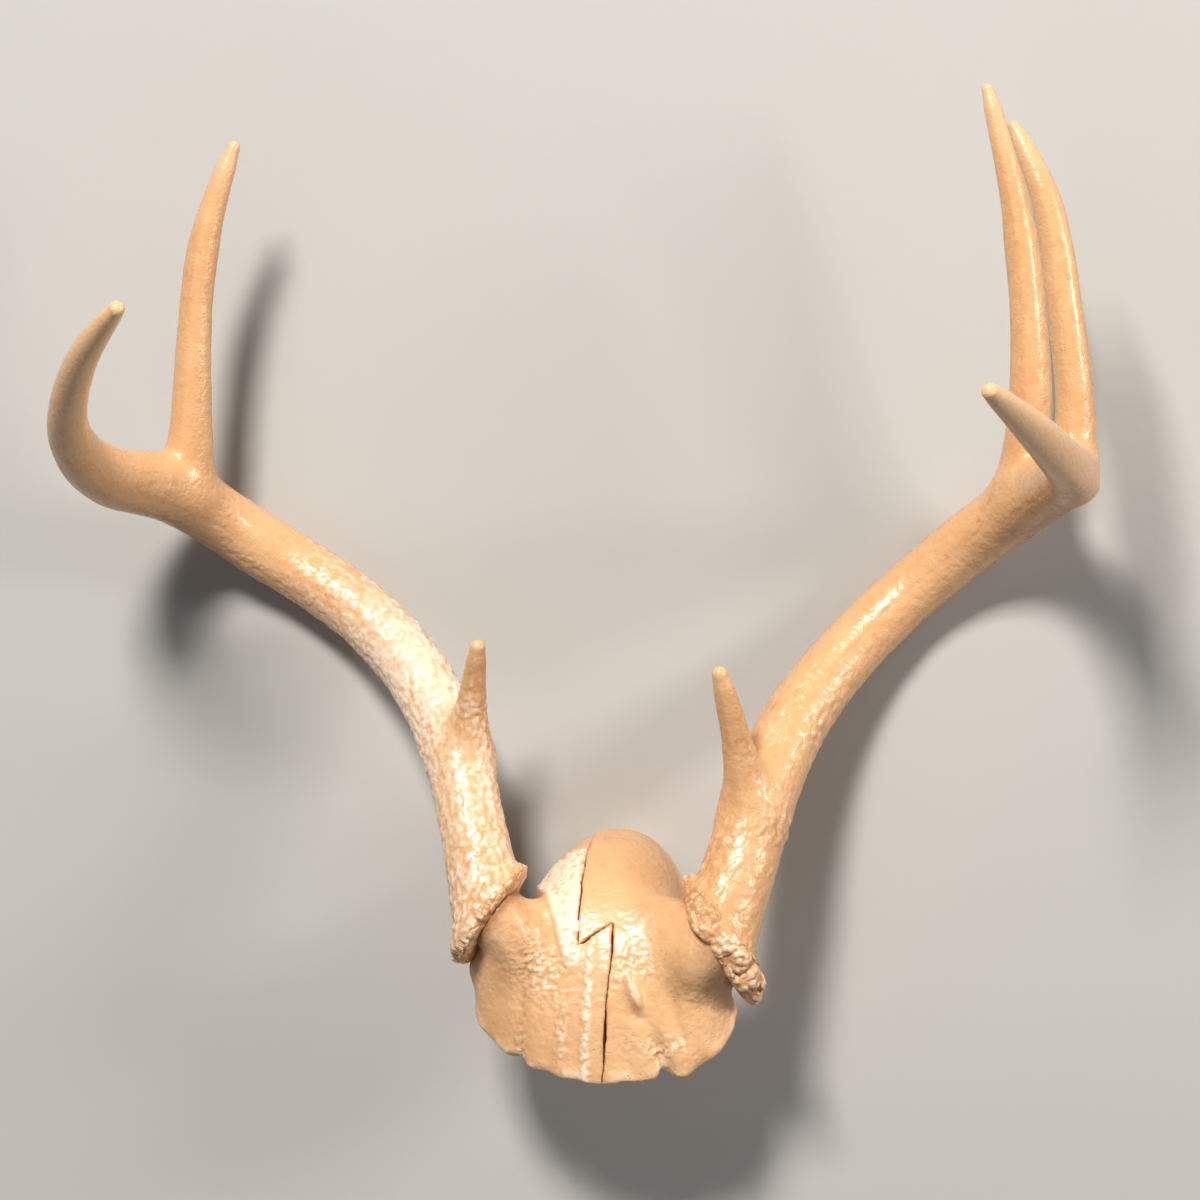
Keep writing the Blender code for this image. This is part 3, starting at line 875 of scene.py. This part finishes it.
skull = {
    "slope": 48.0,                  # degrees that the saw cut rises backwards
    "middle": (-3, 25.3, -31),      # where the plate's own zero lies on the deer
    "halfWidth": 56.0,
    "front": 48.5,                  # mm from the plate's zero to the brow, and to its back
    "back": 83.0,
    "widest": -10.0,                # how far back it is widest, and highest
    "height": 41.0,
    "crown": 30.0,
    "waist": 0.29,                  # the share of the width lost behind the brows
    "waistStart": 0.24,
    "skew": 0.11,                   # how much the brow leans to the deer's left
    "skewStart": -4.0,
    "brainMiddle": 32.0,            # the egg of the brain: how far back, and its half axes
    "brainHalf": (33.0, 38.0, 35.0),
    "pedicleRoot": (36, 14, -30, 14.0),     # the place and radius of its buried root
    "pedicleNeck": 8.0,             # mm from the burr to its neck
    "pedicleRadius": 15.0,
    "pedicleEnd": 1.5,              # mm that its last ball's middle lies inside the burr
    "pedicleBuried": 2.0,           # mm inside the burr where it is pressed square
    # swells of the frontal bone from the foot of each burr, inwards and down to the brow
    "swells": {
        "right": (
            ((-39, 10, -5, 13.5), (-24, 14, -1, 13.5), (-8, 20, 2, 13.0)),
            ((-39, 11, -6, 13.0), (-46.5, 15, -21, 14.0), (-48.5, 20, -33, 10.5)),
        ),
        "left": (
            ((39, 10, -5, 13.5), (24, 14, -1, 13.5), (8, 20, 2, 13.0)),
            ((39, 11, -6, 13.0), (40.5, 9.5, -20, 13.5), (41.5, 8.5, -34, 11.0)),
        ),
    },
    "roughCell": 1.1,               # mm between the points of the plain plate, and of the finished one
    "cell": 0.62,
    "relaxRounds": 150,
    "relaxReach": (6, 16),          # mm from the pedicles and swells over which it is smoothed less
    "burrReach": (40, 30),          # mm from a burr's middle where the bone by it begins, and is full
    "lumps": 0.7,
    "grain": 0.12,
    # the crown's step down, mm: where it comes in, backwards and upwards, and which way it goes
    "crownDrop": {"right": 2.8, "left": 1.2},
    "dropBack": (12, 48),
    "dropUp": (2, 14),
    "dropWay": (0, -0.6, -0.8),     # down and forwards, along the plate's own axes
    # the seam between the frontal bones, across and backwards, with its step
    "seam": ((-7, 120), (-9, 48), (-8.8, -1), (6, 9.5), (6.2, -3), (4, -27), (1, -80)),
    "seamWiggle": 0.5,
    "seamGap": 0.28,
    # where the seam gapes: place backwards and length in mm, and how many gaps wider
    "seamGapes": ((-32, 6, 3.6), (2, 5, 2.4), (26, 14, 0.8)),
    # chips and bulges of the sawn edge: across, back and size in mm, and their depth as a part of
    # the way to the crown
    "chips": ((-34, -38, 3.2, 0.045), (29, -42, 2.8, 0.085), (35, -40, 7.5, -0.050),
              (47, -30, 8.0, -0.024), (-47, -26, 8.0, 0.014), (-21, -44, 2.2, 0.018),
              (-8, -47, 3.0, 0.010), (12, -48, 4.0, 0.010)),
    # the marks on the bone: how many mm each rises, and how much paler it is, or darker below 0
    # the paleness of the band, rib, strip, knob and lip is a painted highlight, and the pit's darkness a
    # painted shadow
    "marks": {
        "band": (1.0, 0.36), "rib": (1.3, 0.20), "hollow": (-2.0, -0.10), "strip": (0.8, 0.24),
        "knob": (2.6, 0.30), "pit": (-1.2, -0.16), "groove": (-0.8, -0.14), "lip": (0.6, 0.26),
        "vein": (-0.5, -0.25),
    },
    "ridge": ((-14, -6), -0.34),    # where the right half's ridge passes, and how it leans
    "slant": (-19, -0.4),           # where the left half's knob and pit stand upright, and their lean
    "knob": ((16.5, -18.0), (3.2, 6.5)),    # place and size, both across and back in mm
    "pit": ((14.5, -26.0), (4.2, 2.4)),
    # gritty patches of the forehead: place and size, both across and back in mm, and strength
    "gritty": {
        "right": (((-25, -10), (11, 11), 1.0), ((-14.6, -32), (3.4, 10), 1.0),
                  ((-33, -32), (2.6, 7), 1.0)),
        "left": (((15, -9), (11, 5), 0.8), ((27, -36), (14, 4), 1.0), ((42, -20), (4, 3), 0.7),
                 ((9, -16), (3, 8), 0.5)),
    },
}


def plateFrame():
    slope = radians(skull["slope"])
    return np.array([(1, 0, 0), (0, cos(slope), sin(slope)), (0, -sin(slope), cos(slope))])


def toPlate(points):
    return (points - skull["middle"]) @ plateFrame().T


def fromPlate(local):
    return local @ plateFrame() + skull["middle"]


def plateWidth(back):
    # an oval in front of the brows, and a waisted oval over the brain behind
    ahead = np.clip((skull["widest"] - back) / (skull["widest"] + skull["front"]), 0, 1)
    behind = np.clip((back - skull["widest"]) / (skull["back"] - skull["widest"]), 0, 1)
    waist = 1 - skull["waist"] * (1 - np.exp(-(behind / skull["waistStart"]) ** 2))
    frontHalf = np.maximum(1 - ahead ** 2, 0) ** 0.6
    backHalf = np.maximum(1 - behind ** 2, 0) ** 0.42 * waist
    return skull["halfWidth"] * np.where(back <= skull["widest"], frontHalf, backHalf)


def leaning(back):
    # how far the plate's middle lies to the deer's left: its skew times the way past its start
    return skull["skew"] * np.maximum(skull["skewStart"] - back, 0)


def plateHeight(across, back):
    # a long slope to the forehead, a rounder back, and steep sides from the saw cut up
    ahead = (skull["crown"] - back) / (skull["crown"] + skull["front"])
    behind = (back - skull["crown"]) / (skull["back"] - skull["crown"])
    ridge = np.where(back <= skull["crown"], 1 - ahead ** 2, np.maximum(1 - behind ** 2, 0) ** 0.6)
    width = np.maximum(plateWidth(back), 1e-6)
    side = np.maximum(1 - np.minimum(np.abs(across - leaning(back)) / width, 1) ** 2.4, 0) ** 0.5
    return skull["height"] * np.maximum(ridge, 0) * side


def patch(across, back, place, size):
    # an oval bell on the plate: 1 in its middle, falling as the Gaussian of both distances
    return np.exp(-((across - place[0]) / size[0]) ** 2 - ((back - place[1]) / size[1]) ** 2)


def rimNotches(across, back):
    # how far the sawn edge is chipped in, as a part of its distance from the crown
    return sum(depth * patch(across, back, (chipAcross, chipBack), (size, size))
               for chipAcross, chipBack, size, depth in skull["chips"])


def skullDome(around, rings):
    # a grid from the crown to the rim: straight lines in plan, and as high as plateHeight says
    angle = np.linspace(0, 2 * np.pi, around, endpoint=False)
    share = np.sin(np.linspace(0, np.pi / 2, rings + 1)[1:])[:, None]
    rimBack = np.where(np.sin(angle) >= 0, skull["back"], skull["front"]) * np.sin(angle)
    rimAcross = np.sign(np.cos(angle)) * plateWidth(rimBack) + leaning(rimBack)
    across = share * rimAcross
    back = skull["crown"] + share * (rimBack - skull["crown"])
    height = np.where(share > 0.9999, 0, plateHeight(across, back))
    chipped = np.sin(share * np.pi / 2) ** 4 * rimNotches(rimAcross, rimBack)
    across = across * (1 - chipped)
    back = skull["crown"] + (back - skull["crown"]) * (1 - chipped)
    rings3d = np.stack([across, back, height], axis=-1)
    points, faces = closedTube(rings3d[::-1])
    points[-2] = (0, 10, 0)                                  # the middle of the saw cut
    points[-1] = (0, skull["crown"], skull["height"])
    return fromPlate(points), faces


def pediclePath(antler):
    # from a root buried in the plate to a neck square to the burr
    axis = unit(np.array(antler["burrAxis"], float))
    middle = np.array(antler["burrMiddle"], float)
    top = middle - axis * (burr["thickness"] / 2 - skull["pedicleEnd"] - skull["pedicleRadius"])
    neck = middle - axis * (burr["thickness"] / 2 + skull["pedicleNeck"])
    rootX, rootY, rootZ, rootRadius = skull["pedicleRoot"]
    root = (np.sign(middle[0]) * rootX, rootY, rootZ, rootRadius)
    return smoothPath((root, (*neck, skull["pedicleRadius"]), (*top, skull["pedicleRadius"])), 1.0)


def underBurr(antler, points):
    # mm under the burr along its axis, and mm from its middle
    below = underMiddle(antler, points) - burr["thickness"] / 2
    return below, np.linalg.norm(points - antler["burrMiddle"], axis=1)


def swellPaths(antler):
    return [smoothPath(stations, 1.0) for stations in skull["swells"][antler["side"]]]


def pedicleStub(antler):
    # the pedicle's last ball rises through the burr, so the stub is pressed square inside it
    points, faces = sweptBalls(pediclePath(antler), 2, 40)
    above = burr["thickness"] / 2 - skull["pedicleBuried"] - underMiddle(antler, points)
    return points - np.maximum(above, 0)[:, None] * burrFrame(antler)[2], faces


def seamLine(push):
    # the seam with small wiggles, pushed sideways
    corners = np.array(skull["seam"], float)
    link = np.linalg.norm(np.diff(corners, axis=0), axis=1)
    along = np.concatenate([[0], np.cumsum(link)])
    spots = np.arange(0, along[-1], 0.7)
    line = np.stack([np.interp(spots, along, corners[:, axis]) for axis in (0, 1)], axis=1)
    soft = np.ones(5) / 5
    padded = np.pad(line, ((2, 2), (0, 0)), mode="edge")
    line = np.stack([np.convolve(padded[:, axis], soft, "valid") for axis in (0, 1)], axis=1)
    ways = unit(np.gradient(line, axis=0))
    across = np.stack([-ways[:, 1], ways[:, 0]], axis=1)
    flat = np.column_stack([line, 0 * spots])
    wiggle = skull["seamWiggle"] * roughNoise(flat, 5.0)
    opened = 1 + sum(wider * bump(line[:, 1], place, length)
                     for place, length, wider in skull["seamGapes"])
    return line + across * (wiggle + push * opened)[:, None]


def pastSeam(direction):
    # a block over everything on one side of the seam, from well under the cut to over the crown
    edge = seamLine(-direction * skull["seamGap"] / 2)
    far = 120.0 * direction
    outline = np.concatenate([edge, [(far, -85), (far, 125)]])
    low = np.column_stack([outline, np.full(len(outline), -60.0)])
    high = np.column_stack([outline, np.full(len(outline), 90.0)])
    count = len(outline)
    i = np.arange(count)
    walls = np.stack([i, (i + 1) % count, (i + 1) % count + count, i + count], axis=1).tolist()
    faces = walls + [list(range(count))[::-1], list(range(count, 2 * count))]
    return fromPlate(np.concatenate([low, high])), faces


def brainHollow(around, rings):
    # an egg, with the shallow prints of the brain's folds
    angle = np.linspace(0, 2 * np.pi, around, endpoint=False)
    lean = np.linspace(0, np.pi, rings + 2)[1:-1][:, None]
    ball = np.stack([np.sin(lean) * np.cos(angle), np.sin(lean) * np.sin(angle),
                     np.cos(lean) + 0 * angle], axis=-1)
    points, faces = closedTube(ball)
    half = np.array(skull["brainHalf"])
    folds = 1 - 0.02 * np.abs(softNoise(points * half, 9)) - 0.03 * bump(points[:, 0], 0, 0.05)
    return fromPlate(points * half * folds[:, None] + (0, skull["brainMiddle"], 0)), faces


def facingOut(mesh):
    # turns the faces round if the solid is inside out
    mesh.calc_loop_triangles()
    corners = np.empty(len(mesh.loop_triangles) * 3, int)
    mesh.loop_triangles.foreach_get("vertices", corners)
    one, two, three = readPoints(mesh)[corners.reshape(-1, 3)].transpose(1, 0, 2)
    if (np.cross(one, two) * three).sum() < 0:
        mesh.flip_normals()
    return mesh


def turnedOut(solid):
    # the points and faces of a solid, its faces turned outwards
    mesh = facingOut(makeMesh("solid", *solid))
    return readPoints(mesh), [list(face.vertices) for face in mesh.polygons]


def cutFrom(mesh, cutters):
    thing = newObject("cut", mesh)
    blocks = [newObject("cutter", facingOut(makeMesh("cutter", *solid))) for solid in cutters]
    for block in blocks:
        cut = thing.modifiers.new("Cut", "BOOLEAN")
        cut.operation = "DIFFERENCE"
        cut.solver = "EXACT"
        cut.object = block
    result = throughModifiers(thing)
    for block in blocks:
        discard(block)
    return result


def seamDistance(local):
    # mm from the seam's line, to the deer's left
    line = seamLine(0.0)
    order = np.argsort(line[:, 1])
    return local[:, 0] - np.interp(local[:, 1], line[order, 1], line[order, 0])


def leaveMark(tall, relief, name, shape, where=1.0):
    # works one mark into the heights, where it can show, and into the relief
    height, pale = skull["marks"][name]
    tall += height * shape * where
    relief += pale * shape


def skullRelief(points, normals, side):
    # mm over the plain plate, and the 0 to 1 relief for the stain, the painted shade and the painted
    # highlights
    local = toPlate(points)
    across, back, up = local.T
    plateNormals = normals @ plateFrame().T
    half = np.array(skull["brainHalf"])
    inEgg = np.linalg.norm((local - (0, skull["brainMiddle"], 0)) / half, axis=1)
    outer = fade(inEgg, 1.02, 1.06) * fade(up, 0.3, 1.6)
    outer = np.where(plateNormals[:, 2] > -0.2, outer, 0.3 * outer)
    cutFace = (1 - fade(up, 0.3, 0.9)) * (plateNormals[:, 2] < -0.6)

    lump = roughNoise(points, 15)
    tall = skull["lumps"] * lump * outer
    relief = 0.48 + 0.10 * lump

    if side == "right":
        # a raised gritty band between a straight ridge and the seam, steep on its outer side; band, rib and
        # strip are painted pale as highlights, and the hollow darker
        (ridgeAcross, ridgeBack), lean = skull["ridge"]
        edge = across - ridgeAcross - lean * (back - ridgeBack)
        band = fade(edge, -1.2, 1.2) * (1 - fade(across, -9, -5))
        band = band * fade(back, -12, -4) * (1 - fade(back, 50, 62))
        rib = bump(edge, 0.5, 2.2) * fade(back, -12, -2) * (1 - fade(back, 44, 60))
        hollow = bump(edge, -9, 5) * bump(back, 14, 15)
        strip = bump(across, -2.5 + 0.05 * back, 2.6) * (1 - fade(back, -6, 6))
        marks = {"band": band, "rib": rib, "hollow": hollow, "strip": strip}
        gritty = 0.9 * band + 0.7 * strip
    else:
        # a slanting bump on the brow, painted pale on top as a highlight, with a small pit at its foot,
        # painted dark as the bump's shadow
        upright, lean = skull["slant"]
        slanted = across - lean * (back - upright)
        marks = {"knob": fade(patch(slanted, back, *skull["knob"]), 0.1, 0.9),
                 "pit": patch(slanted, back, *skull["pit"])}
        gritty = 0.0
    for name, shape in marks.items():
        leaveMark(tall, relief, name, shape, outer)

    # worm-like ridges and grit where the bone is rough, their crests painted pale as highlights
    for place, size, strength in skull["gritty"][side]:
        gritty = gritty + strength * patch(across, back, place, size)
    gritty = np.clip(gritty, 0, 1) * outer
    worms = np.clip(1 - 3.2 * np.abs(softNoise(points + 50, 4.2)), 0, 1)
    grit = cobbles(points + 3, 2.4)
    rough = np.maximum(0.8 * worms, grit)
    tall += gritty * 0.75 * (rough - 0.4)
    relief += gritty * (0.14 + 0.55 * (rough - 0.42))

    # a groove from the foot of each burr towards the brow, and painted shadow close under the burr
    grooveAcross = np.abs(across + 1 - leaning(back)) - (30 - 0.25 * (back + 10))
    groove = bump(grooveAcross, 0, 3.2) * fade(back, -40, -26) * (1 - fade(back, -12, -2))
    leaveMark(tall, relief, "groove", groove * outer)
    below, apart = underBurr(rightAntler if side == "right" else leftAntler, points)
    # painted shadow: the bone close under each burr is darkened
    relief -= 0.5 * fade(apart, *skull["burrReach"]) * np.exp(-np.maximum(below, 0) / 2.0)

    # a lip along the sawn edge of the brow, broken into short lengths painted pale as highlights
    lip = bump(up, 2.6, 2.2) * (1 - fade(back, 0, 20))
    broken = 0.3 + 0.7 * fade(softNoise(points, 6), -0.2, 0.3)
    leaveMark(tall, relief, "lip", lip * broken * outer)

    # the seam's edges are dark and smooth, and a fine grain lies over all
    beside = np.abs(seamDistance(local))
    relief -= 0.28 * np.exp(-beside / 0.8) * outer
    tall *= fade(beside, 0.2, 1.6)
    fine = softNoise(points, 1.7)
    tall += skull["grain"] * fine * outer
    relief += 0.06 * fine

    # spongy bone shows on the saw cut between the two hard tables, and veins left prints inside
    sponge = cobbles(points, 2.2)
    deep = cutFace * fade(np.abs(inEgg - 1.16), 0.12, 0.05)
    tall -= deep * 0.7 * (1 - sponge)
    relief -= cutFace * (0.15 + 0.4 * deep * (1 - sponge))
    inside = 1 - fade(inEgg, 1.02, 1.06)
    vein = np.clip(1 - 5 * np.abs(softNoise(points * (1, 1, 0.5), 12)), 0, 1) * inside
    leaveMark(tall, relief, "vein", vein)
    relief -= 0.1 * inside
    return tall, np.clip(relief, 0, 1)


def crownDrop(points, side):
    # the crown's back lies lower than the plain dome, and the right half a step lower than the left
    _, back, up = toPlate(points).T
    deep = skull["crownDrop"][side] * fade(back, *skull["dropBack"]) * fade(up, *skull["dropUp"])
    return deep[:, None] * (np.array(skull["dropWay"]) @ plateFrame())


def makeSkull(material):
    # the dome, pedicles and swells grow together and are smoothed, then the seam and the hollow
    # of the brain are cut
    solids = [skullDome(220, 70)]
    for antler in (rightAntler, leftAntler):
        solids += [pedicleStub(antler)] + [sweptBalls(path, 2, 40) for path in swellPaths(antler)]
    solids = [turnedOut(solid) for solid in solids]
    whole = fused(makeMesh("skull", *joined(solids)), skull["roughCell"])
    points = readPoints(whole)
    away = np.full(len(points), 99.0)
    free = np.ones(len(points))
    for antler in (rightAntler, leftAntler):
        for path in [pediclePath(antler)] + swellPaths(antler):
            picks = nearestSteps(path, points)
            _, middle, radius = besidePath(path, points, picks)
            away = np.minimum(away, np.linalg.norm(points - middle, axis=1) - radius)
        below, apart = underBurr(antler, points)
        free = np.where(apart < skull["burrReach"][0], fade(below, 0.5, 5), free)
    up = toPlate(points)[:, 2]
    share = (1 - fade(away, *skull["relaxReach"])) * fade(up, 2, 7) * free * 0.5
    writePoints(whole, relax(whole, points, share, skull["relaxRounds"]))
    for side, direction in (("right", 1), ("left", -1)):
        half = cutFrom(whole.copy(), [brainHollow(64, 32), pastSeam(direction)])
        mesh = fused(half, skull["cell"])
        points = readPoints(mesh)
        normals = readNormals(mesh)
        tall, relief = skullRelief(points, normals, side)
        points = points + normals * tall[:, None] + crownDrop(points, side)
        finishPiece("skull_" + side, mesh, points, relief, 0 * relief, material,
                    ("skull_plate_" + side,))


makeCamera()
makeStudio()
antlerMaterial = makeBoneMaterial("Antler", antlerLook)
burrMaterial = makeBoneMaterial("Burr", burrLook)
skullMaterial = makeBoneMaterial("Skull bone", skullLook)
for antler in (rightAntler, leftAntler):
    makeAntler(antler, antlerMaterial)
    makeBurr(antler, burrMaterial)
makeSkull(skullMaterial)
